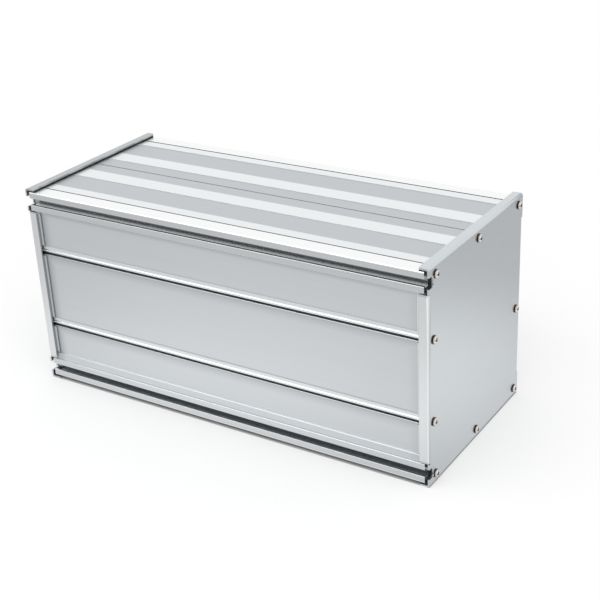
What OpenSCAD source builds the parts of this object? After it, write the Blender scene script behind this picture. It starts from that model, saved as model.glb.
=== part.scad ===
// Aluminium battery box: extruded corner rails and planks, clamped between two folded end caps.
// Millimetres. X runs along the box, Y from the front to the back, and Z up from the surface it stands on.

/* [Box] */
// Length over the two end faces
box_length = 380; // [250:1:600]
// Depth over the front and back flanges
box_depth = 165; // [145:1:260]
// Height over the top and bottom flanges
box_height = 181; // [150:1:300]

/* [End caps] */
// Thickness of the folded sheet
cap_sheet = 1.5; // [1:0.1:2]
// Width of the flanges, measured from the end face
cap_flange = 8.5; // [6:0.5:14]
// Inside radius of the folds
cap_bend = 0.8; // [0.4:0.1:1.2]
// Gap between the end of a front or back flange and the rail
cap_flange_gap = 0.9; // [0.2:0.1:2]
// Radius of the free corners of each flange
cap_flange_corner = 1.2; // [0.4:0.1:2.5]
// Width of the relief slit at each end of a fold
cap_relief = 0.4; // [0.2:0.1:0.8]
// Depth of the notch at the mouth of each front rail's slot
notch_depth = 7; // [3:0.5:8]
// How far the notch is cut past the slot's mouth, above and below
notch_margin = 1.5; // [0.2:0.1:2.5]
// Radius of the notch's inner corners
notch_corner = 0.8; // [0.3:0.1:1.5]
// How far the strips inside the front and back flanges reach past their edges
strip_reach = 2.5; // [1:0.1:5]
// How far the part of a strip past the edge lies behind the flange's outside
strip_depth = 2.3; // [1.7:0.1:2.6]
// Gap between the ends of a strip and the ribs next to it
strip_gap = 0.4; // [0.2:0.1:1]

/* [Gaskets] */
// Thickness between an end cap and the ends of the extrusions
gasket_face = 2.5; // [1:0.1:3]
// Thickness of the lips under the top and bottom flanges
gasket_lip = 1.2; // [1:0.1:3]
// Reach of the gasket's frame, measured in from the outside of the box
gasket_reach = 14.5; // [13.5:0.5:20]
// How far the lips stay back from the edges of the flanges
gasket_inset = 0.3; // [0.1:0.1:1]

/* [Corner rails] */
// Height of the lip at the edge of the box
outer_lip = 5.8; // [4:0.1:8]
// Height of the slot's mouth
slot_mouth = 5.9; // [4.5:0.1:9]
// Height of the lip next to the planks
inner_lip = 5.3; // [4.5:0.1:8]
// Thickness of both lips
lip_wall = 2; // [1.5:0.1:3]
// Depth of the slot behind the face of the box
slot_depth = 6; // [5:0.1:10]
// How far the slot widens behind the inner lip
slot_undercut = 1.3; // [0.4:0.1:1.5]
// Thickness of the wall between the slot and the plank groove
slot_floor_wall = 1.2; // [0.8:0.1:1.8]
// Thickness of the web behind the slot
rail_web = 2.4; // [1.2:0.1:3]
// How far the web runs on behind the planks
rail_backing = 2.5; // [1:0.1:6]
// How far the rail's flat wall runs past the middle of the front screw port
rail_cover = 2.2; // [1:0.1:5]
// Radius of the rail's outside edge
rail_edge = 1.2; // [0.2:0.1:1.8]
// Radius of the edges of the lips
lip_edge = 0.5; // [0.2:0.1:0.9]

/* [Front and back planks] */
// Thickness of the plank's wall
plank_wall = 2.2; // [1.6:0.1:3]
// How far the planks lie behind the face of the box
plank_recess = 3.3; // [2.9:0.1:4.5]
// Height of the middle front plank, from joint to joint
middle_pitch = 68.5; // [50:0.5:84]
// How far the middle front plank is centred below mid-height
middle_drop = 2; // [-5:0.5:5]
// How far the joint of the back planks lies below mid-height
back_drop = 8; // [-20:0.5:20]
// Radius of the bead along each joint
bead_radius = 1.4; // [0.8:0.05:1.6]
// Height of the flat band above the bead
bead_band = 2.6; // [1:0.1:6]
// How far the band stands out from the plank
bead_band_rise = 0.5; // [0.2:0.1:0.9]
// Height of the open groove under the bead
joint_groove = 1.8; // [1:0.1:3]
// Height of the lip under the groove
joint_lip = 1.3; // [0.8:0.1:2.5]
// How far the lip stays behind the bead
joint_lip_setback = 0.5; // [0.1:0.1:0.6]
// How far the tongue behind a joint stands above its middle
joint_tongue = 3.4; // [2:0.1:6]
// Height of the thick band at the foot of the lowest planks
foot_band = 6.3; // [4:0.1:12]
// Radius of the foot band's upper edge
band_edge = 0.8; // [0.3:0.1:1.2]

/* [Top and bottom planks] */
// Thickness of the planks and of the rail's flat wall
flat_wall = 2.4; // [2:0.1:3.5]
// How far the bright lands stand above the plank
land_height = 0.3; // [0.1:0.05:0.5]
// Width of the land next to the rail
edge_land = 10.5; // [6:0.5:12]
// Distance between the two lands
land_gap = 26; // [18:0.5:29]
// Width of the land next to the middle joint
middle_land = 17; // [10:0.5:20]
// Width of the groove between rail and plank
rail_groove = 1.2; // [0.5:0.1:2]
// Width of the line between the two planks
middle_groove = 0.9; // [0.4:0.1:2]
// How far a tongue reaches under the next plank
flat_tongue = 4; // [3:0.1:5]

/* [Screws] */
// Diameter of the screws
screw_d = 3.5; // [3:0.1:4.5]
// Length under the head
screw_length = 14; // [8:1:30]
// Length of the screw's pointed end
screw_point = 1.5; // [0.5:0.1:3]
// Diameter of the screw's flat tip
screw_tip_d = 2; // [1:0.1:2.8]
// Diameter of the head
head_d = 7; // [6:0.1:9]
// Height of the head
head_height = 2.4; // [1.6:0.1:3.5]
// Height of the head's straight rim
head_rim = 0.8; // [0.4:0.1:1.4]
// Span of the cross recess
recess_span = 4.2; // [3:0.1:5.5]
// Width of each arm of the recess
recess_slot = 1.1; // [0.7:0.1:1.5]
// Depth of the recess in the middle
recess_depth = 1.7; // [1:0.1:2.2]
// Thickness of the wall round each screw port
port_wall = 1.15; // [0.8:0.05:1.8]
// Width of the slit along each port
port_slit = 1.5; // [0.8:0.1:2]
// How far each port is sunk into the wall that carries it
port_sink = 0.6; // [0.3:0.1:0.8]

/* [Clearances] */
// Gap between a plank and what it slides into
slide_gap = 0.1; // [0.05:0.05:0.3]
// Gap between the flanges and the beads behind them
rib_gap = 0.15; // [0.05:0.05:0.4]
// Gap between a screw and its tapped port
screw_gap = 0.05; // [0.02:0.01:0.1]
// Gap between a screw and the hole in the sheet
hole_gap = 0.25; // [0.1:0.05:0.5]

/* [Hidden] */
$fn = 64;
// How far a cut runs past the face it opens
over = 1;
anodised = [0.78, 0.80, 0.81];
bright_anodised = [0.88, 0.89, 0.90];
sheet_aluminium = [0.72, 0.74, 0.75];
black_rubber = [0.08, 0.08, 0.09];
nickel = [0.70, 0.68, 0.65];

// Lengths along X
extrusion_length = box_length - 2*(cap_sheet + gasket_face);
gasket_outer_x = box_length/2 - cap_sheet;

// Screw ports
port_bore = screw_d + 2*screw_gap;
port_r = port_bore/2 + port_wall;
flat_port = flat_wall + port_r - port_sink;
side_port = plank_recess + plank_wall + port_r - port_sink;

// Corner rail, measured in from its two outside faces
rail_seat = cap_sheet + gasket_lip;
mouth_end = outer_lip + slot_mouth;
rail_face = mouth_end + inner_lip;
slot_floor = mouth_end + slot_undercut;
groove_front = plank_recess - slide_gap;
groove_back = plank_recess + plank_wall + slide_gap;
rail_back = max(slot_depth, groove_back) + rail_web;
front_rail_port = [rail_back + port_r - port_sink, flat_port];
rear_rail_port = [side_port, flat_port];
rail_width = front_rail_port.x + rail_cover;
tongue_wall = flat_wall/2;
tongue_top = flat_wall - tongue_wall;

// Front and back planks
rail_inside = rail_seat + rail_face;
plank_insert = inner_lip - slot_undercut - slot_floor_wall - slide_gap;
bead_front = cap_sheet + rib_gap;
plank_tongue = plank_wall/2;
front_joints = [for (s = [-1, 1]) box_height/2 - middle_drop + s*middle_pitch/2];
back_joint = box_height/2 - back_drop;
plank_foot = rail_inside - plank_insert;
plank_head = box_height - plank_foot;

// Top and bottom planks
flat_start = rail_width + rail_groove;
flat_end = box_depth/2 - middle_groove/2;

// Folded flanges
bend_out = cap_bend + cap_sheet;
side_flange_length = box_height - 2*(rail_inside + cap_flange_gap);

// Screw places on an end face: corners, middle joints of top and bottom, then front and back joints
front_corner_y = front_rail_port.x - box_depth/2;
rear_corner_y = box_depth/2 - rear_rail_port.x;
row_z = rail_seat + flat_port;
joint_y = box_depth/2 - side_port;
screw_points = concat(
    [for (y = [front_corner_y, 0, rear_corner_y], z = [row_z, box_height - row_z]) [y, z]],
    [for (joint = front_joints) [-joint_y, joint]],
    [[joint_y, back_joint]]
);

// Draws a section of Y and Z along the whole length of the extrusions
module extrude_along_box() {
    rotate([90, 0, 90])
        linear_extrude(extrusion_length, center = true)
            children();
}

// Places a corner's section, which is drawn inwards from its two outside faces
module at_corner(side, level) {
    translate([side*box_depth/2, level < 0 ? rail_seat : box_height - rail_seat])
        mirror([side > 0 ? 1 : 0, 0])
            mirror([0, level > 0 ? 1 : 0])
                children();
}

// Places a front or back plank's section, which is drawn inwards from the face of the box
module at_side(side) {
    translate([side*box_depth/2, 0])
        mirror([side > 0 ? 1 : 0, 0])
            children();
}

module rectangle(low, high) {
    translate(low)
        square(high - low);
}

// The bore of a screw port and the slit that opens it, turned to face a given way
module port_cut(place, turn) {
    translate(place) {
        circle(d = port_bore);
        rotate(turn)
            rectangle([0, -port_slit/2], [port_r + over, port_slit/2]);
    }
}

// What a rounded edge takes away at an outside corner
module edge_waste(radius) {
    difference() {
        rectangle([-over, -over], [radius, radius]);
        translate([radius, radius])
            circle(r = radius);
    }
}

// What every corner rail has: a flat wall with its tongue, and a groove for the planks
module rail_walls() {
    square([rail_width, flat_wall]);
    rectangle([rail_width - over, tongue_top], [flat_start + flat_tongue, flat_wall]);
    rectangle([0, slot_floor], [rail_back, slot_floor + slot_floor_wall]);
    rectangle([0, slot_floor], [groove_front, rail_face]);
    rectangle([groove_back, slot_floor], [rail_back, rail_face + rail_backing]);
}

// Front rail: two lips round a slot, with the screw port behind the slot's web
module slotted_rail_section() {
    difference() {
        union() {
            rail_walls();
            square([lip_wall, outer_lip]);
            rectangle([0, mouth_end], [lip_wall, rail_face]);
            rectangle([slot_depth, 0], [rail_back, slot_floor + slot_floor_wall]);
            translate(front_rail_port)
                circle(r = port_r);
        }
        port_cut(front_rail_port, 45);
        edge_waste(rail_edge);
        translate([0, mouth_end])
            edge_waste(lip_edge);
        for (v = [outer_lip, rail_face])
            translate([0, v])
                mirror([0, 1])
                    edge_waste(lip_edge);
    }
}

// Rear rail: a plain closed face, with the screw port in line with that of the back planks
module plain_rail_section() {
    difference() {
        union() {
            rail_walls();
            square([lip_wall, rail_face]);
            translate(rear_rail_port)
                circle(r = port_r);
        }
        port_cut(rear_rail_port, 45);
        edge_waste(rail_edge);
        translate([0, rail_face])
            mirror([0, 1])
                edge_waste(lip_edge);
    }
}

// The wall of a top or bottom plank with its two lands, rebated over the rail's tongue
module flat_wall_section() {
    difference() {
        union() {
            rectangle([flat_start, land_height], [flat_end, flat_wall]);
            rectangle([flat_start, 0], [flat_start + edge_land, flat_wall]);
            translate([flat_start + edge_land + land_gap, 0])
                square([middle_land, flat_wall]);
        }
        rectangle([flat_start - over, tongue_top - slide_gap],
            [flat_start + flat_tongue + slide_gap, flat_wall + over]);
    }
}

// Top or bottom plank with the middle joint's tongue and screw port
module flat_plank_with_port() {
    port = [box_depth/2, flat_port];
    difference() {
        union() {
            flat_wall_section();
            rectangle([flat_end - over, tongue_top], [flat_end + middle_groove + flat_tongue, flat_wall]);
            translate(port)
                circle(r = port_r);
        }
        port_cut(port, 90);
    }
}

// Top or bottom plank that lies over that tongue
module flat_plank_over_tongue() {
    difference() {
        flat_wall_section();
        rectangle([flat_end - flat_tongue - slide_gap, tongue_top - slide_gap],
            [flat_end + over, flat_wall + over]);
    }
}

// Wall of a front or back plank between two heights
module plank_wall_section(low, high) {
    rectangle([plank_recess, low], [plank_recess + plank_wall, high]);
}

// Plank edge above a joint: band and bead, hollowed behind for the tongue of the plank below
module bead_edge(joint, high) {
    low = joint + joint_groove/2;
    bead = [bead_front + bead_radius, low + bead_radius];
    difference() {
        union() {
            plank_wall_section(low, high);
            translate(bead)
                circle(r = bead_radius);
            rectangle([bead.x, low], [plank_recess + plank_tongue, low + 2*bead_radius]);
            rectangle([plank_recess - bead_band_rise, low + bead_radius],
                [plank_recess + plank_tongue, low + 2*bead_radius + bead_band]);
        }
        rectangle([plank_recess + plank_wall - plank_tongue - slide_gap, low - over],
            [plank_recess + plank_wall + over, joint + joint_tongue + slide_gap]);
    }
}

// Plank edge below a joint: front lip, tongue and screw port
module tongue_edge(joint, low) {
    high = joint - joint_groove/2;
    back = plank_recess + plank_wall;
    lip_x = bead_front + joint_lip_setback + joint_lip/2;
    port = [side_port, joint];
    difference() {
        union() {
            plank_wall_section(low, high);
            translate([lip_x, high - joint_lip/2])
                circle(d = joint_lip);
            rectangle([lip_x, high - joint_lip], [back, high]);
            rectangle([back - plank_tongue, high - over], [back, joint + joint_tongue]);
            translate(port)
                circle(r = port_r);
        }
        port_cut(port, 0);
    }
}

// Plank edge that stands in the bottom rail, with its thick band above the rail's lip
module foot_edge() {
    band_top = rail_inside + foot_band;
    plank_wall_section(plank_foot, band_top);
    difference() {
        rectangle([bead_front, rail_inside + slide_gap], [plank_recess + plank_tongue, band_top]);
        translate([bead_front, band_top])
            mirror([0, 1])
                edge_waste(band_edge);
    }
}

// Section of a folded flange, drawn inwards from the end face and from the flange's outside
module fold_section() {
    intersection() {
        translate([bend_out, bend_out])
            difference() {
                circle(r = bend_out);
                circle(r = cap_bend);
            }
        square(bend_out);
    }
    rectangle([bend_out, 0], [cap_flange, cap_sheet]);
    rectangle([0, bend_out], [cap_sheet, bend_out + over]);
}

// Outline of an opened flange, with its two free corners rounded
module flange_outline(length) {
    half = length/2;
    r = cap_flange_corner;
    rectangle([0, -half], [cap_flange - r, half]);
    rectangle([0, r - half], [cap_flange, half - r]);
    for (s = [-1, 1])
        translate([cap_flange - r, s*(half - r)])
            circle(r = r);
}

module flange(length) {
    intersection() {
        linear_extrude(length, center = true)
            fold_section();
        rotate([-90, 0, 0])
            linear_extrude(bend_out + over)
                flange_outline(length);
    }
}

// Outline of a rail slot's notch, drawn inwards from the corner of the rails
module notch_outline() {
    low = outer_lip - notch_margin;
    high = mouth_end + notch_margin;
    rectangle([-over, low], [notch_depth - notch_corner, high]);
    rectangle([-over, low + notch_corner], [notch_depth, high - notch_corner]);
    for (v = [low + notch_corner, high - notch_corner])
        translate([notch_depth - notch_corner, v])
            circle(r = notch_corner);
}

// Front notches and screw holes, which the end cap and its gasket share
module end_openings() {
    for (level = [-1, 1])
        at_corner(-1, level)
            notch_outline();
    for (p = screw_points)
        translate(p)
            circle(d = screw_d + 2*hole_gap);
}

// Flat of the end cap: the sheet without its folds
module cap_flat() {
    half = box_depth/2;
    side_cut = side_flange_length/2 + cap_relief;
    difference() {
        rectangle([-half, bend_out], [half, box_height - bend_out]);
        for (s = [-1, 1])
            translate([s*half, box_height/2])
                rectangle([-bend_out, -side_cut], [bend_out, side_cut]);
        end_openings();
    }
}

// Heights between which the planks lie open: above the foot band, between the ribs, below the top rail
function open_bays(joints) = [for (i = [0:len(joints)]) [
    i == 0 ? rail_inside + foot_band : joints[i - 1] + joint_groove/2 + 2*bead_radius + bead_band,
    i == len(joints) ? box_height - rail_inside - cap_flange_gap : joints[i] - joint_groove/2 - joint_lip
]];

// One layer of the strips, from behind the gasket to a distance from the end face
module strip_layer(side, joints, reach, depth) {
    start = cap_sheet + gasket_face + rib_gap;
    translate([box_length/2 - reach, 0, 0])
        rotate([90, 0, 90])
            linear_extrude(reach - start)
                at_side(side)
                    for (bay = open_bays(joints))
                        rectangle([depth, bay[0] + strip_gap],
                            [plank_recess - rib_gap, bay[1] - strip_gap]);
}

// Strips inside a front or back flange: they fill the space down to the planks and end in a thin lip
module bay_strips(side, joints) {
    strip_layer(side, joints, cap_flange, cap_sheet/2);
    strip_layer(side, joints, cap_flange + strip_reach, strip_depth);
}

// Right-hand end cap: one folded sheet, with its strips
module end_cap() {
    translate([box_length/2 - cap_sheet, 0, 0])
        rotate([90, 0, 90])
            linear_extrude(cap_sheet)
                cap_flat();
    for (s = [0, 1]) {
        mirror([0, s, 0])
            translate([box_length/2, -box_depth/2, box_height/2])
                mirror([1, 0, 0])
                    flange(side_flange_length);
        translate([box_length/2, 0, s*box_height])
            mirror([0, 0, s])
                mirror([1, 0, 0])
                    rotate([90, 0, 0])
                        flange(box_depth);
    }
    bay_strips(-1, front_joints);
    bay_strips(1, [back_joint]);
}

// Right-hand gasket: a frame behind the end cap, with a lip under the top and bottom flanges
module end_gasket() {
    rim = cap_sheet + cap_bend;
    half = box_depth/2;
    lip_half = half - gasket_inset;
    lip_x = box_length/2 - cap_flange + gasket_inset;
    translate([gasket_outer_x - gasket_face, 0, 0])
        rotate([90, 0, 90])
            linear_extrude(gasket_face)
                difference() {
                    rectangle([rim - half, rim], [half - rim, box_height - rim]);
                    rectangle([gasket_reach - half, gasket_reach],
                        [half - gasket_reach, box_height - gasket_reach]);
                    end_openings();
                }
    for (z = [cap_sheet, box_height - rail_seat])
        translate([lip_x, -lip_half, z])
            cube([gasket_outer_x - cap_bend - lip_x, 2*lip_half, gasket_lip]);
}

// Blades of the cross recess, kept inside a cone that closes towards the bottom
module cross_recess() {
    translate([0, 0, head_height - recess_depth])
        intersection() {
            for (turn = [0, 90])
                rotate(turn)
                    translate([-recess_span/2, -recess_slot/2, 0])
                        cube([recess_span, recess_slot, recess_depth + over]);
            cylinder(d1 = recess_slot, d2 = recess_span, h = recess_depth);
        }
}

// Pan-head screw, standing on the underside of its head
module screw() {
    dome = head_height - head_rim;
    dome_r = (pow(head_d/2, 2) + pow(dome, 2))/(2*dome);
    difference() {
        intersection() {
            cylinder(d = head_d, h = head_height);
            translate([0, 0, head_height - dome_r])
                sphere(r = dome_r);
        }
        cross_recess();
    }
    translate([0, 0, screw_point - screw_length])
        cylinder(d = screw_d, h = screw_length - screw_point + head_rim/2);
    translate([0, 0, -screw_length])
        cylinder(d1 = screw_tip_d, d2 = screw_d, h = screw_point);
}

module end_screws() {
    for (p = screw_points)
        translate([box_length/2, p.x, p.y])
            rotate([0, 90, 0])
                screw();
}

module right_end_cap() {
    color(sheet_aluminium)
        end_cap();
}

module left_end_cap() {
    color(sheet_aluminium)
        mirror([1, 0, 0])
            end_cap();
}

module right_end_gasket() {
    color(black_rubber)
        end_gasket();
}

module left_end_gasket() {
    color(black_rubber)
        mirror([1, 0, 0])
            end_gasket();
}

module corner_rail(side, level) {
    color(bright_anodised)
        extrude_along_box()
            at_corner(side, level)
                children();
}

module top_front_rail() {
    corner_rail(-1, 1)
        slotted_rail_section();
}

module bottom_front_rail() {
    corner_rail(-1, -1)
        slotted_rail_section();
}

module top_rear_rail() {
    corner_rail(1, 1)
        plain_rail_section();
}

module bottom_rear_rail() {
    corner_rail(1, -1)
        plain_rail_section();
}

module front_flat_plank(level) {
    color(anodised)
        extrude_along_box()
            at_corner(-1, level)
                flat_plank_with_port();
}

module rear_flat_plank(level) {
    color(anodised)
        extrude_along_box()
            at_corner(1, level)
                flat_plank_over_tongue();
}

module top_front_plank() {
    front_flat_plank(1);
}

module top_rear_plank() {
    rear_flat_plank(1);
}

module bottom_front_plank() {
    front_flat_plank(-1);
}

module bottom_rear_plank() {
    rear_flat_plank(-1);
}

module side_plank(side) {
    color(anodised)
        extrude_along_box()
            at_side(side)
                children();
}

module front_upper_plank() {
    side_plank(-1)
        bead_edge(front_joints[1], plank_head);
}

module front_middle_plank() {
    side_plank(-1) {
        bead_edge(front_joints[0], box_height/2);
        tongue_edge(front_joints[1], box_height/2);
    }
}

module front_lower_plank() {
    side_plank(-1) {
        foot_edge();
        tongue_edge(front_joints[0], rail_inside);
    }
}

module rear_upper_plank() {
    side_plank(1)
        bead_edge(back_joint, plank_head);
}

module rear_lower_plank() {
    side_plank(1) {
        foot_edge();
        tongue_edge(back_joint, rail_inside);
    }
}

module right_end_screws() {
    color(nickel)
        end_screws();
}

module left_end_screws() {
    color(nickel)
        mirror([1, 0, 0])
            end_screws();
}

right_end_cap();
left_end_cap();
right_end_gasket();
left_end_gasket();
top_front_rail();
bottom_front_rail();
top_rear_rail();
bottom_rear_rail();
top_front_plank();
top_rear_plank();
bottom_front_plank();
bottom_rear_plank();
front_upper_plank();
front_middle_plank();
front_lower_plank();
rear_upper_plank();
rear_lower_plank();
right_end_screws();
left_end_screws();
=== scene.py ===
"""Finishes an aluminium battery box and sets it in a white studio."""

import math

import bmesh
import bpy
from mathutils import Matrix, Vector


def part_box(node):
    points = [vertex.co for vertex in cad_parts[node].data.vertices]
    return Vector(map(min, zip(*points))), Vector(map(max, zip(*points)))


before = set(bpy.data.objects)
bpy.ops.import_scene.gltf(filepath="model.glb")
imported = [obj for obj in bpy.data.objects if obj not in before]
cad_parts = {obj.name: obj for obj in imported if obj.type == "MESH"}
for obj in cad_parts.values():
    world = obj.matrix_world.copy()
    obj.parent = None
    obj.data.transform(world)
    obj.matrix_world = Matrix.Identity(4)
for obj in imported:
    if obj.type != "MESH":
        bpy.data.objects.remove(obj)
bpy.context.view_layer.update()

bl_info = {
    "name": "Battery Box Finish",
    "version": (1, 0, 0),
    "blender": (4, 5, 0),
    "location": "View3D > Sidebar > Battery Box",
    "description": "Gives an aluminium battery box its finishes and a white studio",
    "category": "Object",
}

MM = 0.001

# Nodes of the box, grouped by what they are made of
END_CAPS = ["right_end_cap", "left_end_cap"]
GASKETS = ["right_end_gasket", "left_end_gasket"]
RAILS = ["top_front_rail", "bottom_front_rail", "top_rear_rail", "bottom_rear_rail"]
FLAT_PLANKS = ["top_front_plank", "top_rear_plank", "bottom_front_plank", "bottom_rear_plank"]
SIDE_PLANKS = [
    "front_upper_plank", "front_middle_plank", "front_lower_plank",
    "rear_upper_plank", "rear_lower_plank",
]
SCREWS = ["right_end_screws", "left_end_screws"]

# Faces of the box that the finishes are measured from, read from the box itself
END_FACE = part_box("right_end_cap")[1].x
STRIP_EDGE = END_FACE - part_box("right_end_cap")[0].x
SIDE_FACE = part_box("top_rear_rail")[1].y
LAND_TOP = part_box("top_front_rail")[1].z
LAND_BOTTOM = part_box("bottom_front_rail")[0].z
MIDDLE_HEIGHT = (LAND_TOP + LAND_BOTTOM)/2
RAIL_HEIGHT = LAND_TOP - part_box("top_front_rail")[0].z
FLAT_START = SIDE_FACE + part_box("top_front_plank")[0].y
# The plank above each joint, and how Y compares with 0 on that side of the box
JOINTS = [
    ("front_upper_plank", "LESS_THAN"), ("front_middle_plank", "LESS_THAN"),
    ("rear_upper_plank", "GREATER_THAN"),
]

# Room for rounding and softened edges where a finish asks which face a point is on
FACE_ROOM = 0.1*MM
LAND_ROOM = 0.04*MM
FOOT_ROOM = 0.05*MM
STRIP_ROOM = 0.15*MM

# How noise is drawn out into marks: along the box, across an end, or the same all round
ALONG_BOX = (0.012, 1, 1)
ACROSS_END = (1, 0.03, 1)
ALL_ROUND = (1, 1, 1)
MARK_DETAIL = 3.0
MARK_ROUGHNESS = 0.6

# Depth of the marks on each material, and how strongly they turn its reflection
EXTRUSION_MARKS = 0.03*MM
SHEET_MARKS = 0.02*MM
SCREW_MARKS = 0.01*MM
RUBBER_MARKS = 0.05*MM
METAL_BUMP = 0.1
RUBBER_BUMP = 0.4

# How far the slots' painted dark line of shade reaches behind the lips, and its height
SLOT_LINE_DEPTH = 0.5*MM
SLOT_LINE_HEIGHT = 1.1*MM

# Share of open space over a screw's surface where it takes all of the painted shade, and where it takes
# none
RECESS_OPEN = (0.65, 0.97)
# How far a screw's surface faces outwards where it takes all of the painted dark reflection, and where it
# takes none
RIM_FACING = (0.55, 0.9)

# Softened edges: what counts as one corner and as a sharp edge, and how the edge is rounded
JOIN_DISTANCE = 0.001*MM
SHARP_ANGLE = math.radians(40)
EDGE_SEGMENTS = 2
ROUND_PROFILE = 0.5
# The screws are small, so their edges get a share of the radius
SCREW_EDGE_SHARE = 0.4

WHITE = (1, 1, 1, 1)
# Share of its reach over which a pool of light has its full strength
POOL_CORE = 0.15
# Width of the camera's sensor, and how near to it things are still drawn
SENSOR_WIDTH_MM = 36
NEAREST_VIEW = 0.01


def linear(hex_colour):
    """Turns an sRGB hex colour into linear red, green, blue and an alpha of 1."""
    channels = [int(hex_colour[i:i + 2], 16)/255 for i in (1, 3, 5)]
    return (*(c/12.92 if c <= 0.04045 else ((c + 0.055)/1.055)**2.4 for c in channels), 1.0)


def add_node(tree, kind, settings=None, inputs=None):
    """Adds a node with its settings, and gives each named input a value or a link."""
    node = tree.nodes.new(kind)
    for name, value in (settings or {}).items():
        setattr(node, name, value)
    for name, value in (inputs or {}).items():
        if isinstance(value, bpy.types.NodeSocket):
            tree.links.new(value, node.inputs[name])
        else:
            node.inputs[name].default_value = value
    return node


def new_material(name):
    """An empty node material, its tree, and the input that its shader goes to."""
    material = bpy.data.materials.new(name)
    material.use_nodes = True
    tree = material.node_tree
    tree.nodes.clear()
    output = tree.nodes.new("ShaderNodeOutputMaterial")
    return material, tree, output.inputs["Surface"]


def place_on_box(tree):
    """Where a point lies, and how far in from the ends, from the sides and from the lands it is."""
    place = add_node(tree, "ShaderNodeTexCoord").outputs["Object"]
    axes = add_node(tree, "ShaderNodeSeparateXYZ", inputs={"Vector": place}).outputs
    inward = {}
    for name, axis, middle, half in (
        ("end", "X", 0.0, END_FACE),
        ("side", "Y", 0.0, SIDE_FACE),
        ("land", "Z", MIDDLE_HEIGHT, LAND_TOP - MIDDLE_HEIGHT),
    ):
        offset = add_node(tree, "ShaderNodeMath", {"operation": "SUBTRACT"}, {0: axes[axis], 1: middle})
        distance = add_node(tree, "ShaderNodeMath", {"operation": "ABSOLUTE"}, {0: offset.outputs[0]})
        depth = add_node(tree, "ShaderNodeMath", {"operation": "SUBTRACT"}, {
            0: half, 1: distance.outputs[0],
        })
        inward[name] = depth.outputs[0]
    return place, axes, inward


def all_hold(tree, *tests):
    """1 where each test of a value against a limit holds, and 0 elsewhere."""
    mask = 1.0
    for value, relation, limit in tests:
        test = add_node(tree, "ShaderNodeMath", {"operation": relation}, {0: value, 1: limit})
        both = add_node(tree, "ShaderNodeMath", {"operation": "MULTIPLY"}, {0: mask, 1: test.outputs[0]})
        mask = both.outputs[0]
    return mask


def any_of(tree, *masks):
    """The largest of some masks at each point: 1 where one of them is 1."""
    joined = 0.0
    for mask in masks:
        larger = add_node(tree, "ShaderNodeMath", {"operation": "MAXIMUM"}, {0: joined, 1: mask})
        joined = larger.outputs[0]
    return joined


def overlaid(tree, base, *layers):
    """A colour with others laid over it, each where its own mask is 1."""
    for mask, colour in layers:
        # A Mix node has its colours at inputs 6 and 7, its numbers at 2 and 3
        mixed = add_node(tree, "ShaderNodeMix", {"data_type": "RGBA"}, {0: mask, 6: base, 7: colour})
        base = mixed.outputs[2]
    return base


def drawn_marks(tree, place, spacing_mm, stretch):
    """Noise drawn out along an axis, for the marks that a die, a roll or a tool leaves.

    Real ones are too fine to show in the render, so these are drawn as coarse as they need to be.
    """
    mapped = add_node(tree, "ShaderNodeMapping", inputs={"Vector": place, "Scale": stretch})
    return add_node(tree, "ShaderNodeTexNoise", inputs={
        "Vector": mapped.outputs["Vector"], "Scale": 1/(spacing_mm*MM),
        "Detail": MARK_DETAIL, "Roughness": MARK_ROUGHNESS,
    }).outputs[0]


def metal_surface(tree, surface, colour, roughness, marks, mark_depth):
    """Bare metal: all of its colour is in its reflection, spread by the roughness."""
    bump = add_node(tree, "ShaderNodeBump", inputs={
        "Strength": METAL_BUMP, "Distance": mark_depth, "Height": marks,
    })
    shader = add_node(tree, "ShaderNodeBsdfPrincipled", inputs={
        "Base Color": colour, "Metallic": 1.0, "Roughness": roughness, "Normal": bump.outputs["Normal"],
    })
    tree.links.new(shader.outputs["BSDF"], surface)


def shade_beside(tree, height, step, width, *limits):
    """Painted shade at a step in a side of the box: 1 at the step, fading out below it, or above it where
    the width is negative.
    """
    fade = add_node(tree, "ShaderNodeMapRange", {"interpolation_type": "SMOOTHSTEP"}, {
        "Value": height, "From Min": step - width, "From Max": step, "To Min": 0.0, "To Max": 1.0,
    })
    return add_node(tree, "ShaderNodeMath", {"operation": "MULTIPLY"}, {
        0: fade.outputs[0], 1: all_hold(tree, *limits),
    }).outputs[0]


def end_shade(tree, axes, inward, finish):
    """Painted shade beside the end caps: 1 at the left one and a share of that at the right one, fading
    out inwards.
    """
    fade = add_node(tree, "ShaderNodeMapRange", {"interpolation_type": "SMOOTHSTEP"}, {
        "Value": inward["end"], "From Min": STRIP_EDGE, "From Max": STRIP_EDGE + finish.shade_width,
        "To Min": 1.0, "To Max": 0.0,
    })
    at_right = all_hold(tree, (axes["X"], "GREATER_THAN", 0.0))
    strength = add_node(tree, "ShaderNodeMix", {"data_type": "FLOAT"}, {
        0: at_right, 2: 1.0, 3: finish.right_shade,
    })
    return add_node(tree, "ShaderNodeMath", {"operation": "MULTIPLY"}, {
        0: fade.outputs[0], 1: strength.outputs[0],
    }).outputs[0]


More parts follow.
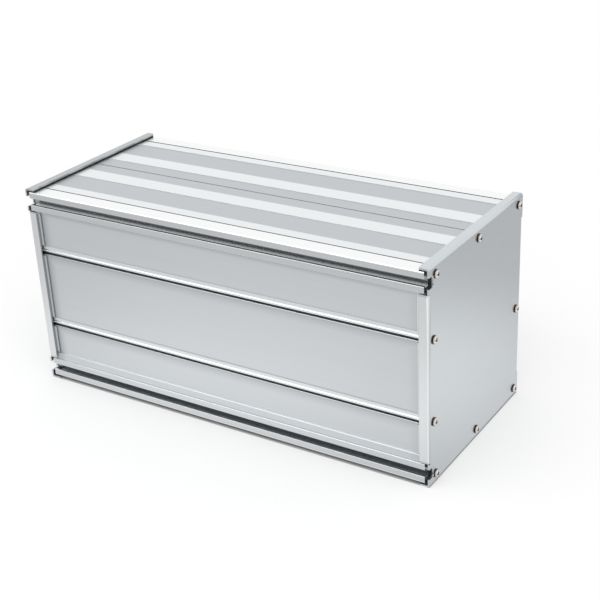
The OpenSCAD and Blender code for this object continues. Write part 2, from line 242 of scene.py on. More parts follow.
def joint_masks(tree, axes, inward, finish):
    """The joints' beads, the bands over them and the grooves under them, and the painted shade beside
    these.
    """
    beads, bands, grooves, shade = 0.0, 0.0, 0.0, 0.0
    for name, relation in JOINTS:
        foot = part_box(name)[0].z
        bead_top = foot + finish.bead_height
        band_top = bead_top + finish.band_height
        lip_top = foot - finish.groove_height
        on_side = (axes["Y"], relation, 0.0)
        raised = (
            on_side,
            (inward["side"], "LESS_THAN", finish.bead_depth),
            (axes["Z"], "GREATER_THAN", foot),
        )
        bead = all_hold(tree, *raised, (axes["Z"], "LESS_THAN", bead_top))
        band = all_hold(tree, *raised, (axes["Z"], "LESS_THAN", band_top))
        groove = all_hold(
            tree, on_side,
            (inward["side"], "GREATER_THAN", finish.groove_depth),
            (axes["Z"], "GREATER_THAN", lip_top + FACE_ROOM),
            (axes["Z"], "LESS_THAN", foot + FOOT_ROOM),
        )
        under_lip = shade_beside(
            tree, axes["Z"], lip_top, finish.shade_width,
            on_side, (axes["Z"], "LESS_THAN", foot),
        )
        over_band = shade_beside(
            tree, axes["Z"], band_top, -finish.band_shade_width,
            on_side, (axes["Z"], "GREATER_THAN", band_top),
        )
        beads = any_of(tree, beads, bead)
        bands = any_of(tree, bands, band)
        grooves = any_of(tree, grooves, groove)
        shade = any_of(tree, shade, under_lip, over_band)
    return beads, bands, grooves, shade


def plank_material(finish):
    """Satin anodised extrusion: soft grey with faint die lines, bright on its polished lands and beads.

    It has painted shade beside the caps, the rails and the joints, which keep light from it, and deep in
    its grooves and joints.
    """
    material, tree, surface = new_material("satin_anodised_aluminium")
    place, axes, inward = place_on_box(tree)
    lines = drawn_marks(tree, place, finish.die_line_mm, ALONG_BOX)
    on_flat = (inward["side"], "GREATER_THAN", FLAT_START - FACE_ROOM)
    lands = all_hold(tree, (inward["land"], "LESS_THAN", FACE_ROOM))
    rail_groove = all_hold(
        tree, on_flat,
        (inward["side"], "LESS_THAN", FLAT_START + finish.groove_edge),
        (inward["land"], "GREATER_THAN", LAND_ROOM),
    )
    middle_groove = all_hold(
        tree,
        (inward["side"], "GREATER_THAN", SIDE_FACE - finish.middle_groove),
        (inward["land"], "GREATER_THAN", finish.land_groove),
    )
    under_rail = shade_beside(
        tree, axes["Z"], LAND_TOP - finish.rail_face, finish.rail_shade_width,
        (inward["land"], "GREATER_THAN", RAIL_HEIGHT/2),
    )
    beads, bands, joints, joint_shade = joint_masks(tree, axes, inward, finish)
    shade = any_of(tree, end_shade(tree, axes, inward, finish), under_rail, joint_shade)
    polished = any_of(tree, lands, beads)
    colour = overlaid(
        tree, finish.satin_colour,
        (lines, finish.satin_shade),
        (all_hold(tree, on_flat), finish.field_colour),
        # Painted shade beside the end caps, under the top rails and over and under the joints
        (shade, finish.painted_corner_shade),
        (bands, finish.band_colour),
        (polished, finish.polished_colour),
        # Painted shade in the grooves and deep in the joints, where little light gets in
        (any_of(tree, rail_groove, middle_groove), finish.painted_groove_shade),
        (joints, finish.painted_joint_shade),
    )
    roughness = add_node(tree, "ShaderNodeMix", {"data_type": "FLOAT"}, {
        0: polished, 2: finish.satin_roughness, 3: finish.polished_roughness,
    }).outputs[0]
    metal_surface(tree, surface, colour, roughness, lines, EXTRUSION_MARKS)
    return material


def rail_material(finish):
    """Anodised extrusion with its outer flat cut bright: white from above, with painted shade in the
    slots of its face and in its groove, and a painted highlight low in each slot.
    """
    material, tree, surface = new_material("bright_cut_anodised_aluminium")
    place, _, inward = place_on_box(tree)
    lines = drawn_marks(tree, place, finish.die_line_mm, ALONG_BOX)
    bright = all_hold(tree, (inward["land"], "LESS_THAN", finish.rail_edge))
    behind_lip = (inward["side"], "GREATER_THAN", finish.lip_thickness)
    past_band = (inward["land"], "GREATER_THAN", finish.slot_band)
    slot = all_hold(tree, behind_lip, (inward["land"], "GREATER_THAN", finish.land_groove))
    slot_band = all_hold(tree, behind_lip, past_band)
    slot_line = all_hold(
        tree, past_band,
        (inward["side"], "GREATER_THAN", finish.lip_line),
        (inward["side"], "LESS_THAN", finish.lip_thickness + SLOT_LINE_DEPTH),
        (inward["land"], "LESS_THAN", finish.slot_band + SLOT_LINE_HEIGHT),
    )
    groove = all_hold(
        tree,
        (inward["side"], "GREATER_THAN", FLAT_START - finish.rail_groove - finish.groove_edge),
        (inward["land"], "GREATER_THAN", LAND_ROOM),
    )
    colour = overlaid(
        tree, finish.rail_colour,
        (lines, finish.rail_shade),
        (bright, finish.bright_cut_colour),
        # Painted shade inside the slots, a painted highlight low in them where light reaches their floor,
        # and a painted dark line of shade on the lips' inner edges
        (slot, finish.painted_slot_shade),
        (slot_band, finish.painted_slot_highlight),
        (slot_line, finish.painted_slot_line_shade),
        # Painted shade in the groove beside the flat planks
        (groove, finish.painted_groove_shade),
    )
    metal_surface(tree, surface, colour, finish.rail_roughness, lines, EXTRUSION_MARKS)
    return material


def sheet_material(finish):
    """Rolled aluminium sheet: a soft grain, with painted highlights on its front and back flanges.

    The sheared edges of these flanges and of the strips show as dark lines of painted shade, which
    reaches a little onto the strips.
    """
    material, tree, surface = new_material("rolled_aluminium_sheet")
    place, axes, inward = place_on_box(tree)
    grain = drawn_marks(tree, place, finish.roll_grain_mm, ACROSS_END)
    beside_planks = (inward["land"], "GREATER_THAN", RAIL_HEIGHT)
    past_fold = (inward["end"], "GREATER_THAN", finish.sheet_radius)
    flange = all_hold(tree, beside_planks, past_fold, (inward["side"], "LESS_THAN", finish.sheet_radius))
    left_flange = all_hold(
        tree, past_fold,
        (axes["X"], "LESS_THAN", 0.0),
        (inward["land"], "LESS_THAN", 0.0),
    )
    past_flange = (inward["end"], "GREATER_THAN", finish.flange_width + FACE_ROOM)
    strip = all_hold(tree, beside_planks, past_flange)
    flange_edge = all_hold(
        tree, beside_planks,
        (inward["end"], "GREATER_THAN", finish.flange_width - FACE_ROOM),
        (inward["end"], "LESS_THAN", finish.flange_width + finish.edge_shade),
    )
    strip_edge = all_hold(tree, beside_planks, (inward["end"], "GREATER_THAN", STRIP_EDGE - STRIP_ROOM))
    # Painted shade on the cut edges and on the strips just beside the flanges
    shaded_edges = any_of(tree, flange_edge, strip_edge)
    colour = overlaid(
        tree, finish.sheet_colour,
        (grain, finish.sheet_shade),
        # Painted highlight on the front and back flanges, and painted shade on the left cap's top and
        # bottom flanges
        (flange, finish.painted_flange_highlight),
        (left_flange, finish.painted_left_flange_shade),
        (strip, finish.strip_colour),
        (shaded_edges, finish.painted_edge_shade),
    )
    roughness = add_node(tree, "ShaderNodeMix", {"data_type": "FLOAT"}, {
        0: any_of(tree, strip, shaded_edges), 2: finish.sheet_roughness, 3: finish.sheared_roughness,
    }).outputs[0]
    metal_surface(tree, surface, colour, roughness, grain, SHEET_MARKS)
    return material


def gasket_material(finish):
    """Black rubber: matt, with a fine moulded grain that breaks up its faint sheen."""
    material, tree, surface = new_material("black_rubber")
    place = add_node(tree, "ShaderNodeTexCoord").outputs["Object"]
    grain = drawn_marks(tree, place, finish.rubber_grain_mm, ALL_ROUND)
    bump = add_node(tree, "ShaderNodeBump", inputs={
        "Strength": RUBBER_BUMP, "Distance": RUBBER_MARKS, "Height": grain,
    })
    shader = add_node(tree, "ShaderNodeBsdfPrincipled", inputs={
        "Base Color": overlaid(tree, finish.rubber_colour, (grain, finish.rubber_shade)),
        "Roughness": finish.rubber_roughness, "Normal": bump.outputs["Normal"],
    })
    tree.links.new(shader.outputs["BSDF"], surface)
    return material


def screw_material(finish):
    """Nickel plate on steel: a warm, clear mirror with faint turning marks.

    It is bright on the crown of each head, with painted shade in the cross recess and under the head, and
    a painted dark reflection towards the rim.
    """
    material, tree, surface = new_material("nickel_plated_steel")
    coordinates = add_node(tree, "ShaderNodeTexCoord").outputs
    marks = drawn_marks(tree, coordinates["Object"], finish.screw_mark_mm, ALL_ROUND)
    openness = add_node(tree, "ShaderNodeAmbientOcclusion", inputs={"Distance": finish.recess_shade})
    hidden = add_node(tree, "ShaderNodeMapRange", inputs={
        "Value": openness.outputs["AO"], "From Min": RECESS_OPEN[0], "From Max": RECESS_OPEN[1],
        "To Min": 1.0, "To Max": 0.0,
    })
    facing = add_node(tree, "ShaderNodeSeparateXYZ", inputs={"Vector": coordinates["Normal"]})
    outward = add_node(tree, "ShaderNodeMath", {"operation": "ABSOLUTE"}, {0: facing.outputs["X"]})
    rim = add_node(tree, "ShaderNodeMapRange", {"interpolation_type": "SMOOTHSTEP"}, {
        "Value": outward.outputs[0], "From Min": RIM_FACING[0], "From Max": RIM_FACING[1],
        "To Min": 1.0, "To Max": 0.0,
    })
    # Painted dark reflection towards the rims, and painted shade in the cross recess and under the heads
    colour = overlaid(
        tree, finish.nickel_colour,
        (marks, finish.nickel_shade),
        (rim.outputs[0], finish.painted_rim_reflection),
        (hidden.outputs[0], finish.painted_recess_shade),
    )
    metal_surface(tree, surface, colour, finish.nickel_roughness, marks, SCREW_MARKS)
    return material


def soften_edges(piece, radius):
    """Joins the faces of a piece and rounds its sharp edges, as tumbling or anodising does."""
    weld = piece.modifiers.new("joined_faces", "WELD")
    weld.merge_threshold = JOIN_DISTANCE
    bevel = piece.modifiers.new("soft_edges", "BEVEL")
    bevel.width = radius
    bevel.segments = EDGE_SEGMENTS
    bevel.limit_method = "ANGLE"
    bevel.angle_limit = SHARP_ANGLE
    bevel.profile = ROUND_PROFILE
    bevel.harden_normals = True


def dress(names, material, radius):
    """Gives each named piece a finish and soft edges."""
    for name in names:
        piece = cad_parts[name]
        piece.data.materials.clear()
        piece.data.materials.append(material)
        soften_edges(piece, radius)


class BatteryBoxFinish(bpy.types.PropertyGroup):
    """Colours and textures of the box's metals and rubber."""

    satin_colour: bpy.props.FloatVectorProperty(
        name="Satin aluminium", description="Colour of the satin anodised planks",
        default=linear("#D9DDDF"), subtype="COLOR", size=4, min=0, max=1)
    field_colour: bpy.props.FloatVectorProperty(
        name="Fields", description="Colour of the top and bottom planks between their lands",
        default=linear("#C3C7CA"), subtype="COLOR", size=4, min=0, max=1)
    satin_shade: bpy.props.FloatVectorProperty(
        name="Satin shade", description="Darker tone of the planks' die lines",
        default=linear("#D4D8DA"), subtype="COLOR", size=4, min=0, max=1)
    # Painted shade on the planks where the caps, the rails and the joints keep light from them
    painted_corner_shade: bpy.props.FloatVectorProperty(
        name="Corner shade",
        description="Duller tone of the planks beside the end caps, the rails and the joints",
        default=linear("#C2C6C8"), subtype="COLOR", size=4, min=0, max=1)
    # How far the painted shade fades out, and how much of it shows beside the right end cap
    shade_width: bpy.props.FloatProperty(
        name="Shade width",
        description="How far the duller tone fades out beside the end caps and under the joints",
        default=10*MM, unit="LENGTH", subtype="DISTANCE")
    right_shade: bpy.props.FloatProperty(
        name="Right shade", description="Share of the duller tone that shows beside the right end cap",
        default=0.4, subtype="FACTOR", min=0, max=1)
    band_shade_width: bpy.props.FloatProperty(
        name="Band shade width", description="How far the duller tone fades out over the band of a bead",
        default=1.6*MM, unit="LENGTH", subtype="DISTANCE")
    satin_roughness: bpy.props.FloatProperty(
        name="Satin roughness", description="Spread of the reflection on the planks",
        default=0.42, subtype="FACTOR", min=0, max=1)
    polished_colour: bpy.props.FloatVectorProperty(
        name="Polished aluminium", description="Colour of the lands and beads",
        default=linear("#EAEDEE"), subtype="COLOR", size=4, min=0, max=1)
    polished_roughness: bpy.props.FloatProperty(
        name="Polished roughness", description="Spread of the reflection on the lands and beads",
        default=0.22, subtype="FACTOR", min=0, max=1)
    # Painted shade deep in the joints, and in the grooves beside and between the flat planks
    painted_joint_shade: bpy.props.FloatVectorProperty(
        name="Joints", description="Colour deep in the joints between the side planks",
        default=linear("#2E3032"), subtype="COLOR", size=4, min=0, max=1)
    painted_groove_shade: bpy.props.FloatVectorProperty(
        name="Grooves", description="Colour of the grooves beside and between the flat planks",
        default=linear("#6C7072"), subtype="COLOR", size=4, min=0, max=1)
    bead_height: bpy.props.FloatProperty(
        name="Bead height", description="Height of the bead above each joint",
        default=2.8*MM, unit="LENGTH", subtype="DISTANCE")
    band_height: bpy.props.FloatProperty(
        name="Band height", description="Height of the flat band over each bead",
        default=2.6*MM, unit="LENGTH", subtype="DISTANCE")
    band_colour: bpy.props.FloatVectorProperty(
        name="Bands", description="Colour of the flat bands over the beads",
        default=linear("#E6E9EA"), subtype="COLOR", size=4, min=0, max=1)
    bead_depth: bpy.props.FloatProperty(
        name="Bead depth",
        description="How far behind the face of the box the beads and their bands lie",
        default=3.1*MM, unit="LENGTH", subtype="DISTANCE")
    groove_height: bpy.props.FloatProperty(
        name="Joint groove", description="Height of the dark groove under each bead",
        default=1.85*MM, unit="LENGTH", subtype="DISTANCE")
    groove_depth: bpy.props.FloatProperty(
        name="Joint depth", description="How far behind the face of the box the joints turn dark",
        default=2.6*MM, unit="LENGTH", subtype="DISTANCE")
    land_groove: bpy.props.FloatProperty(
        name="Land groove", description="How far below the lands the grooves turn dark",
        default=0.4*MM, unit="LENGTH", subtype="DISTANCE")
    rail_groove: bpy.props.FloatProperty(
        name="Rail groove", description="Width of the grooves between the rails and the flat planks",
        default=1.2*MM, unit="LENGTH", subtype="DISTANCE")
    middle_groove: bpy.props.FloatProperty(
        name="Middle groove",
        description="How far the line between two flat planks reaches from their middle",
        default=0.75*MM, unit="LENGTH", subtype="DISTANCE")
    groove_edge: bpy.props.FloatProperty(
        name="Groove edge", description="Width of the softened edges beside the grooves",
        default=0.3*MM, unit="LENGTH", subtype="DISTANCE")
    rail_colour: bpy.props.FloatVectorProperty(
        name="Rails", description="Colour of the corner rails",
        default=linear("#DFE3E5"), subtype="COLOR", size=4, min=0, max=1)
    rail_shade: bpy.props.FloatVectorProperty(
        name="Rail shade", description="Darker tone of the rails' die lines",
        default=linear("#D6DADC"), subtype="COLOR", size=4, min=0, max=1)
    bright_cut_colour: bpy.props.FloatVectorProperty(
        name="Bright cut", description="Colour of the rails' outer flats and edges",
        default=linear("#F7F8F8"), subtype="COLOR", size=4, min=0, max=1)
    # Painted light in the slots: shade inside, a lighter band low in them, and a dark line on the lips
    painted_slot_shade: bpy.props.FloatVectorProperty(
        name="Slots", description="Colour inside the rails' slots",
        default=linear("#B4B7B9"), subtype="COLOR", size=4, min=0, max=1)
    painted_slot_highlight: bpy.props.FloatVectorProperty(
        name="Slot band", description="Colour of the brighter band along the slots, beside the planks",
        default=linear("#CFD0D1"), subtype="COLOR", size=4, min=0, max=1)
    painted_slot_line_shade: bpy.props.FloatVectorProperty(
        name="Slot line", description="Dark tone on the inner edge of the lips beside the planks",
        default=linear("#2E3032"), subtype="COLOR", size=4, min=0, max=1)
    slot_band: bpy.props.FloatProperty(
        name="Slot band place", description="How far from the lands the slots' brighter band starts",
        default=11.5*MM, unit="LENGTH", subtype="DISTANCE")
    lip_line: bpy.props.FloatProperty(
        name="Slot line place",
        description="How far behind the face of the box the slots' dark line starts",
        default=0.4*MM, unit="LENGTH", subtype="DISTANCE")
    # Where the painted shade under the top rails starts, and how far it fades out
    rail_face: bpy.props.FloatProperty(
        name="Rail face",
        description="Height of the top rails' faces, under which the planks are duller",
        default=18.0*MM, unit="LENGTH", subtype="DISTANCE")
    rail_shade_width: bpy.props.FloatProperty(
        name="Rail shade width", description="How far the duller tone fades out under the top rails",
        default=5*MM, unit="LENGTH", subtype="DISTANCE")
    rail_roughness: bpy.props.FloatProperty(
        name="Rail roughness", description="Spread of the reflection on the rails",
        default=0.25, subtype="FACTOR", min=0, max=1)
    rail_edge: bpy.props.FloatProperty(
        name="Bright edge",
        description="How far below the lands the bright cut reaches round the rails' edges",
        default=1.3*MM, unit="LENGTH", subtype="DISTANCE")
    lip_thickness: bpy.props.FloatProperty(
        name="Lips", description="Thickness of the lips beside the rails' slots",
        default=2.1*MM, unit="LENGTH", subtype="DISTANCE")
    die_line_mm: bpy.props.FloatProperty(
        name="Die lines", description="Spacing of the lines along the extrusions, in millimetres",
        default=1.6, min=0.2, max=10)
    sheet_colour: bpy.props.FloatVectorProperty(
        name="Sheet", description="Colour of the end caps",
        default=linear("#D4D9DC"), subtype="COLOR", size=4, min=0, max=1)
    sheet_shade: bpy.props.FloatVectorProperty(
        name="Sheet shade", description="Darker tone of the sheet's grain",
        default=linear("#CCD1D4"), subtype="COLOR", size=4, min=0, max=1)
    # Painted highlight on the front and back flanges, and painted shade on the left cap's top and bottom
    # ones
    painted_flange_highlight: bpy.props.FloatVectorProperty(
        # name="Flanges", description="Painted highlight on the front and back flanges",
        name="Flanges", description="Colour of the front and back flanges, rubbed bright by the press",
        default=linear("#ECEDEF"), subtype="COLOR", size=4, min=0, max=1)
    painted_left_flange_shade: bpy.props.FloatVectorProperty(
        name="Left flanges",
        # description="Painted shade on the left end cap's top and bottom flanges",
        description="Colour of the left end cap's top and bottom flanges, left dull by the press",
        default=linear("#B9BCBE"), subtype="COLOR", size=4, min=0, max=1)
    sheet_radius: bpy.props.FloatProperty(
        name="Sheet radius", description="How far the rounded folds reach in from the faces",
        default=0.5*MM, unit="LENGTH", subtype="DISTANCE")
    strip_colour: bpy.props.FloatVectorProperty(
        name="Strips", description="Colour of the strips inside the front and back flanges",
        default=linear("#E0E2E4"), subtype="COLOR", size=4, min=0, max=1)
    # Painted shade on the cut edges, and on the strips beside the flanges
    painted_edge_shade: bpy.props.FloatVectorProperty(
        name="Sheared edge", description="Colour of the cut edges of the front and back flanges",
        default=linear("#A4A6A8"), subtype="COLOR", size=4, min=0, max=1)
    sheared_roughness: bpy.props.FloatProperty(
        name="Sheared roughness", description="Spread of the reflection on cut edges and strips",
        default=0.6, subtype="FACTOR", min=0, max=1)
    sheet_roughness: bpy.props.FloatProperty(
        name="Sheet roughness", description="Spread of the reflection on the end caps",
        default=0.28, subtype="FACTOR", min=0, max=1)
    flange_width: bpy.props.FloatProperty(
        name="Flange width", description="Width of the flanges, from the end face",
        default=8.5*MM, unit="LENGTH", subtype="DISTANCE")
    # Width of the painted shade on a strip beside its flange
    edge_shade: bpy.props.FloatProperty(
        name="Edge shade",
        description="Width of the dark line where a strip comes out from under its flange",
        default=0.3*MM, unit="LENGTH", subtype="DISTANCE")
    roll_grain_mm: bpy.props.FloatProperty(
        name="Roll grain", description="Spacing of the sheet's grain, in millimetres",
        default=1.2, min=0.2, max=10)
    rubber_colour: bpy.props.FloatVectorProperty(
        name="Rubber", description="Colour of the gaskets",
        default=linear("#17181A"), subtype="COLOR", size=4, min=0, max=1)
    rubber_shade: bpy.props.FloatVectorProperty(
        name="Rubber grain", description="Lighter tone of the rubber's grain",
        default=linear("#232527"), subtype="COLOR", size=4, min=0, max=1)
    rubber_grain_mm: bpy.props.FloatProperty(
        name="Rubber grain size", description="Size of the moulded grain, in millimetres",
        default=0.7, min=0.1, max=5)
    rubber_roughness: bpy.props.FloatProperty(
        name="Rubber roughness", description="Spread of the sheen on the gaskets",
        default=0.7, subtype="FACTOR", min=0, max=1)
    nickel_colour: bpy.props.FloatVectorProperty(
        name="Nickel", description="Colour of the screws",
        default=linear("#F4EFEB"), subtype="COLOR", size=4, min=0, max=1)
    nickel_shade: bpy.props.FloatVectorProperty(
        name="Nickel shade", description="Darker tone of the turning marks",
        default=linear("#DCD3CD"), subtype="COLOR", size=4, min=0, max=1)
    # Painted dark reflection towards the rims of the heads, painted shade in the cross recess and under
    # the heads, and how far that shade reaches
    painted_rim_reflection: bpy.props.FloatVectorProperty(
        name="Rim", description="Duller tone of the heads towards their rims and in the cross recess",
        default=linear("#5C514B"), subtype="COLOR", size=4, min=0, max=1)
    painted_recess_shade: bpy.props.FloatVectorProperty(
        name="Recess", description="Dull tone inside the cross recess and under the heads",
        default=linear("#241A15"), subtype="COLOR", size=4, min=0, max=1)
    recess_shade: bpy.props.FloatProperty(
        name="Recess shade", description="How far from a surface another one dulls it",
        default=2.4*MM, unit="LENGTH", subtype="DISTANCE")
    nickel_roughness: bpy.props.FloatProperty(
        name="Nickel roughness", description="Spread of the reflection on the screws",
        default=0.12, subtype="FACTOR", min=0, max=1)
    screw_mark_mm: bpy.props.FloatProperty(
        name="Turning marks", description="Size of the marks on the screws, in millimetres",
        default=0.8, min=0.1, max=5)
    edge_radius: bpy.props.FloatProperty(
        name="Edge radius", description="Radius of the softened edges",
        default=0.25*MM, unit="LENGTH", subtype="DISTANCE", min=0, max=0.002)


class BatteryBoxStudio(bpy.types.PropertyGroup):
    """Camera, floor and light."""

    azimuth: bpy.props.FloatProperty(
        name="Azimuth", description="Turn of the camera from the front towards the right end",
        default=math.radians(33.317), subtype="ANGLE", unit="ROTATION")
    elevation: bpy.props.FloatProperty(
        name="Elevation", description="Height of the camera as an angle",
        default=math.radians(25.447), subtype="ANGLE", unit="ROTATION")
    roll: bpy.props.FloatProperty(
        name="Roll", description="Tilt of the camera about its own line of sight",
        default=math.radians(-2.948), subtype="ANGLE", unit="ROTATION")
    target: bpy.props.FloatVectorProperty(
        name="Target", description="Point that the camera looks at",
        default=(0.0028, 0.0377, 0.0661), subtype="TRANSLATION", unit="LENGTH")
    distance: bpy.props.FloatProperty(
        name="Distance", description="Distance from the camera to its target",
        default=1.1, unit="LENGTH", subtype="DISTANCE")
    lens: bpy.props.FloatProperty(
        name="Lens", description="Focal length on a 36 mm wide sensor, in millimetres",
        default=75.02, min=10, max=300)
    floor_size: bpy.props.FloatProperty(
        name="Floor", description="Width of the white floor",
        default=16.0, unit="LENGTH", subtype="DISTANCE")
    floor_colour: bpy.props.FloatVectorProperty(
        name="Floor colour", description="Colour of the floor",
        default=linear("#EAEAEA"), subtype="COLOR", size=4, min=0, max=1)
    floor_glow: bpy.props.FloatProperty(
        name="Floor glow", description="Share of plain white in the floor as it is seen beside the box",
        default=0.15, subtype="FACTOR", min=0, max=1)
    floor_middle: bpy.props.FloatVectorProperty(
        name="Floor middle", description="Point that the floor turns white away from",
        default=(-0.16, -0.08, 0), subtype="TRANSLATION", unit="LENGTH")
    floor_reach: bpy.props.FloatVectorProperty(
        name="Floor reach", description="Distances between which the floor turns wholly white",
        default=(0.25, 0.6), size=2, unit="LENGTH", min=0)
    # Painted shadow on the floor under the box
    painted_floor_shadow: bpy.props.FloatVectorProperty(
        name="Shade", description="Colour of the floor under the box",
        default=linear("#B4B4B4"), subtype="COLOR", size=4, min=0, max=1)
    sky_level: bpy.props.FloatProperty(
        name="Sky", description="Strength of the white all round",
        default=1.0, min=0, max=4)
    lamp_power: bpy.props.FloatProperty(
        name="Softbox", description="Power of the long softbox above the front, in watts",
        default=10.0, unit="POWER", min=0, max=500)
    lamp_length: bpy.props.FloatProperty(
        name="Softbox length", description="Length of the softbox along the box",
        default=4.0, unit="LENGTH", subtype="DISTANCE")
    lamp_width: bpy.props.FloatProperty(
        name="Softbox width", description="Width of the softbox",
        default=0.4, unit="LENGTH", subtype="DISTANCE")
    lamp_place: bpy.props.FloatVectorProperty(
        name="Softbox place", description="Middle of the softbox",
        default=(0.0, -0.6, 1.0), subtype="TRANSLATION", unit="LENGTH")
    front_pool: bpy.props.FloatVectorProperty(
        name="Front pool", description="Middle of the pool of light that the front of the box mirrors",
        default=(-0.05, -0.18, 0.001), subtype="TRANSLATION", unit="LENGTH")
    front_reach: bpy.props.FloatVectorProperty(
        name="Front reach", description="How far the front pool reaches along and away from the box",
        default=(0.40, 0.165), size=2, unit="LENGTH", min=0)
    front_levels: bpy.props.FloatVectorProperty(
        name="Front levels",
        description="Strength in the middle of the front pool and outside it, where 1 is white",
        default=(1.0, 0.67), size=2, min=0, max=1)
    end_pool: bpy.props.FloatVectorProperty(
        name="End pool", description="Middle of the pool of light that the right end mirrors",
        default=(0.31, 0.06, 0.001), subtype="TRANSLATION", unit="LENGTH")
    end_reach: bpy.props.FloatVectorProperty(
        name="End reach", description="How far the end pool reaches along and away from the box",
        default=(0.20, 0.27), size=2, unit="LENGTH", min=0)
    end_levels: bpy.props.FloatVectorProperty(
        name="End levels",
        description="Strength in the middle of the end pool and outside it, where 1 is white",
        default=(1.0, 0.65), size=2, min=0, max=1)
    pool_size: bpy.props.FloatProperty(
        name="Pool size", description="Width of the sheets that carry the pools",
        default=1.4, unit="LENGTH", subtype="DISTANCE")


class BATTERYBOX_OT_end_caps(bpy.types.Operator):
    """Finish the folded end caps as rolled sheet"""

    bl_idname = "battery_box.end_caps"
    bl_label = "Finish end caps"

    def execute(self, context):
        finish = context.scene.battery_box_finish
        dress(END_CAPS, sheet_material(finish), finish.edge_radius)
        return {"FINISHED"}


class BATTERYBOX_OT_gaskets(bpy.types.Operator):
    """Finish the gaskets as black rubber"""

    bl_idname = "battery_box.gaskets"
    bl_label = "Finish gaskets"

    def execute(self, context):
        finish = context.scene.battery_box_finish
        dress(GASKETS, gasket_material(finish), finish.edge_radius)
        return {"FINISHED"}


class BATTERYBOX_OT_rails(bpy.types.Operator):
    """Finish the corner rails as bright-cut anodised extrusions"""

    bl_idname = "battery_box.rails"
    bl_label = "Finish corner rails"

    def execute(self, context):
        finish = context.scene.battery_box_finish
        dress(RAILS, rail_material(finish), finish.edge_radius)
        return {"FINISHED"}


class BATTERYBOX_OT_planks(bpy.types.Operator):
    """Finish the planks as satin anodised extrusions with polished lands and beads"""

    bl_idname = "battery_box.planks"
    bl_label = "Finish planks"

    def execute(self, context):
        finish = context.scene.battery_box_finish
        dress(FLAT_PLANKS + SIDE_PLANKS, plank_material(finish), finish.edge_radius)
        return {"FINISHED"}


class BATTERYBOX_OT_screws(bpy.types.Operator):
    """Finish the screws as nickel plate"""

    bl_idname = "battery_box.screws"
    bl_label = "Finish screws"

    def execute(self, context):
        finish = context.scene.battery_box_finish
        dress(SCREWS, screw_material(finish), SCREW_EDGE_SHARE*finish.edge_radius)
        return {"FINISHED"}


def seen_ray(tree):
    """1 for rays that show the background: to the eye, in a mirror or through glass."""
    path = add_node(tree, "ShaderNodeLightPath").outputs
    return any_of(tree, path["Is Camera Ray"], path["Is Glossy Ray"], path["Is Transmission Ray"])


def floor_material(studio):
    """White paper that keeps the shadow beside the box.

    Away from the box it turns plain white where it is seen, and under the box it has a painted grey
    shadow.
    """
    material, tree, surface = new_material("white_paper")
    place, _, inward = place_on_box(tree)
    under_box = all_hold(
        tree,
        (inward["end"], "GREATER_THAN", 0.0),
        (inward["side"], "GREATER_THAN", 0.0),
    )
    # The paper under the box carries a painted grey shadow
    paper = add_node(tree, "ShaderNodeBsdfDiffuse", inputs={
        "Color": overlaid(tree, studio.floor_colour, (under_box, studio.painted_floor_shadow)),
    })
    white = add_node(tree, "ShaderNodeEmission", inputs={"Color": WHITE, "Strength": 1.0})
    offset = add_node(tree, "ShaderNodeVectorMath", {"operation": "SUBTRACT"}, {
        0: place, 1: studio.floor_middle,
    })
    distance = add_node(tree, "ShaderNodeVectorMath", {"operation": "LENGTH"}, {0: offset.outputs[0]})
    glow_start, glow_end = studio.floor_reach
    glow = add_node(tree, "ShaderNodeMapRange", {"interpolation_type": "SMOOTHSTEP"}, {
        "Value": distance.outputs["Value"], "From Min": glow_start, "From Max": glow_end,
        "To Min": studio.floor_glow, "To Max": 1.0,
    })
    share = add_node(tree, "ShaderNodeMix", {"data_type": "FLOAT"}, {
        0: under_box, 2: glow.outputs[0], 3: 0.0,
    })
    seen = add_node(tree, "ShaderNodeMath", {"operation": "MULTIPLY"}, {
        0: seen_ray(tree), 1: share.outputs[0],
    })
    mix = add_node(tree, "ShaderNodeMixShader", inputs={
        0: seen.outputs[0], 1: paper.outputs["BSDF"], 2: white.outputs["Emission"],
    })
    tree.links.new(mix.outputs["Shader"], surface)
    return material


def add_sheet(name, low, high, lift, material):
    """A flat rectangle at a height over the floor of the studio, between two corners."""
    mesh = bpy.data.meshes.new(name)
    shape = bmesh.new()
    middle = (Vector(low) + Vector(high))/2
    half = (Vector(high) - Vector(low))/2
    matrix = Matrix.Translation((*middle, lift)) @ Matrix.Diagonal((*half, 1, 1))
    bmesh.ops.create_grid(shape, size=1, matrix=matrix)
    shape.to_mesh(mesh)
    shape.free()
    mesh.materials.append(material)
    sheet = bpy.data.objects.new(name, mesh)
    bpy.context.scene.collection.objects.link(sheet)
    return sheet


def pool_material(name, middle, reach, levels):
    """A pool of light that fades outwards from its middle."""
    material, tree, surface = new_material(name)
    place = add_node(tree, "ShaderNodeTexCoord").outputs["Object"]
    offset = add_node(tree, "ShaderNodeVectorMath", {"operation": "SUBTRACT"}, {0: place, 1: middle})
    share = add_node(tree, "ShaderNodeVectorMath", {"operation": "DIVIDE"}, {
        0: offset.outputs[0], 1: (*reach, 1),
    })
    distance = add_node(tree, "ShaderNodeVectorMath", {"operation": "LENGTH"}, {0: share.outputs[0]})
    level = add_node(tree, "ShaderNodeMapRange", {"interpolation_type": "SMOOTHSTEP"}, {
        "Value": distance.outputs["Value"], "From Min": POOL_CORE, "From Max": 1.0,
        "To Min": levels[0], "To Max": levels[1],
    })
    light = add_node(tree, "ShaderNodeEmission", inputs={"Color": WHITE, "Strength": level.outputs[0]})
    tree.links.new(light.outputs["Emission"], surface)
    return material


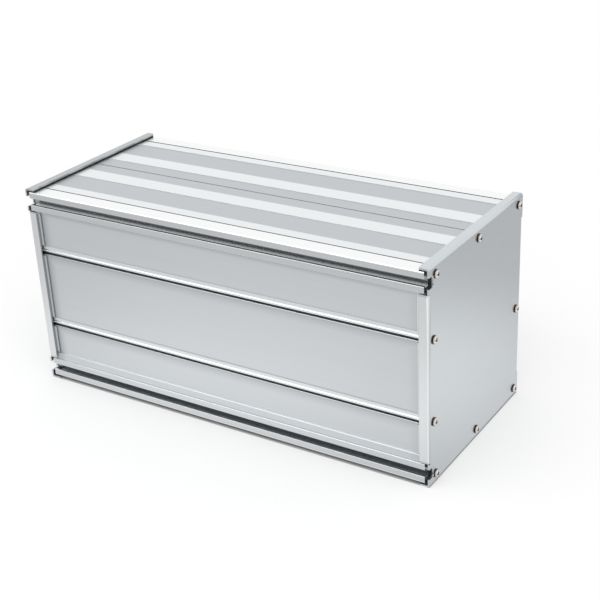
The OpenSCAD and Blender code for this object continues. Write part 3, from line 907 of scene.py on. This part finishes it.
def add_pools(studio):
    """Sheets in front of the box and beside its right end, which show only as reflections in it."""
    size = studio.pool_size
    for name, middle, reach, levels, low, high in (
        ("front_pool", studio.front_pool, studio.front_reach, studio.front_levels,
         (-size, -SIDE_FACE - size), (END_FACE, -SIDE_FACE)),
        ("end_pool", studio.end_pool, studio.end_reach, studio.end_levels,
         (END_FACE, -SIDE_FACE), (END_FACE + size, size)),
    ):
        sheet = add_sheet(name, low, high, middle[2], pool_material(name, middle, reach, levels))
        sheet.visible_camera = False
        sheet.visible_diffuse = False
        sheet.visible_shadow = False


def set_sky(studio):
    """A plain white sky."""
    world = bpy.data.worlds.new("white_studio")
    world.use_nodes = True
    tree = world.node_tree
    tree.nodes.clear()
    output = tree.nodes.new("ShaderNodeOutputWorld")
    sky = add_node(tree, "ShaderNodeBackground", inputs={"Color": WHITE, "Strength": studio.sky_level})
    tree.links.new(sky.outputs["Background"], output.inputs["Surface"])
    bpy.context.scene.world = world


def add_softbox(studio):
    """A long lamp that lies along the box and faces its middle."""
    lamp = bpy.data.lights.new("softbox", "AREA")
    lamp.shape = "RECTANGLE"
    lamp.size = studio.lamp_length
    lamp.size_y = studio.lamp_width
    lamp.energy = studio.lamp_power
    holder = bpy.data.objects.new("softbox", lamp)
    bpy.context.scene.collection.objects.link(holder)
    holder.location = studio.lamp_place
    aim = Vector((0, 0, MIDDLE_HEIGHT))
    holder.rotation_euler = (aim - Vector(studio.lamp_place)).to_track_quat("-Z", "Y").to_euler()


def add_camera(studio):
    """Looks at the target from its azimuth and elevation, then rolls about its line of sight."""
    turn, rise = studio.azimuth, studio.elevation
    back = Vector((math.sin(turn)*math.cos(rise), -math.cos(turn)*math.cos(rise), math.sin(rise)))
    right = Vector((0, 0, 1)).cross(back).normalized()
    up = back.cross(right)
    rotation = Matrix((right, up, back)).transposed() @ Matrix.Rotation(studio.roll, 3, "Z")
    data = bpy.data.cameras.new("photo_camera")
    data.sensor_width = SENSOR_WIDTH_MM
    data.sensor_fit = "HORIZONTAL"
    data.lens = studio.lens
    data.clip_start = NEAREST_VIEW
    camera = bpy.data.objects.new("photo_camera", data)
    bpy.context.scene.collection.objects.link(camera)
    place = Vector(studio.target) + back*studio.distance
    camera.matrix_world = Matrix.Translation(place) @ rotation.to_4x4()
    bpy.context.scene.camera = camera


class BATTERYBOX_OT_stage(bpy.types.Operator):
    """Set up the white floor, the light and the camera"""

    bl_idname = "battery_box.stage"
    bl_label = "Set up the studio"

    def execute(self, context):
        studio = context.scene.battery_box_studio
        half = studio.floor_size/2
        add_sheet("floor", (-half, -half), (half, half), 0, floor_material(studio))
        add_pools(studio)
        set_sky(studio)
        add_softbox(studio)
        add_camera(studio)
        context.scene.view_settings.view_transform = "Standard"
        return {"FINISHED"}


class BATTERYBOX_PT_panel(bpy.types.Panel):
    """Lists the steps that finish the box"""

    bl_idname = "BATTERYBOX_PT_panel"
    bl_label = "Battery Box"
    bl_space_type = "VIEW_3D"
    bl_region_type = "UI"
    bl_category = "Battery Box"

    def draw(self, context):
        for step in STEPS:
            self.layout.operator(step.bl_idname)
        for group in (context.scene.battery_box_finish, context.scene.battery_box_studio):
            column = self.layout.column()
            for name in group.__annotations__:
                column.prop(group, name)


STEPS = (
    BATTERYBOX_OT_end_caps,
    BATTERYBOX_OT_gaskets,
    BATTERYBOX_OT_rails,
    BATTERYBOX_OT_planks,
    BATTERYBOX_OT_screws,
    BATTERYBOX_OT_stage,
)
CLASSES = (BatteryBoxFinish, BatteryBoxStudio, *STEPS, BATTERYBOX_PT_panel)


def register():
    for cls in CLASSES:
        bpy.utils.register_class(cls)
    bpy.types.Scene.battery_box_finish = bpy.props.PointerProperty(type=BatteryBoxFinish)
    bpy.types.Scene.battery_box_studio = bpy.props.PointerProperty(type=BatteryBoxStudio)


def unregister():
    del bpy.types.Scene.battery_box_studio
    del bpy.types.Scene.battery_box_finish
    for cls in reversed(CLASSES):
        bpy.utils.unregister_class(cls)


def main():
    register()
    bpy.ops.battery_box.end_caps()
    bpy.ops.battery_box.gaskets()
    bpy.ops.battery_box.rails()
    bpy.ops.battery_box.planks()
    bpy.ops.battery_box.screws()
    bpy.ops.battery_box.stage()


if __name__ == "__main__":
    main()
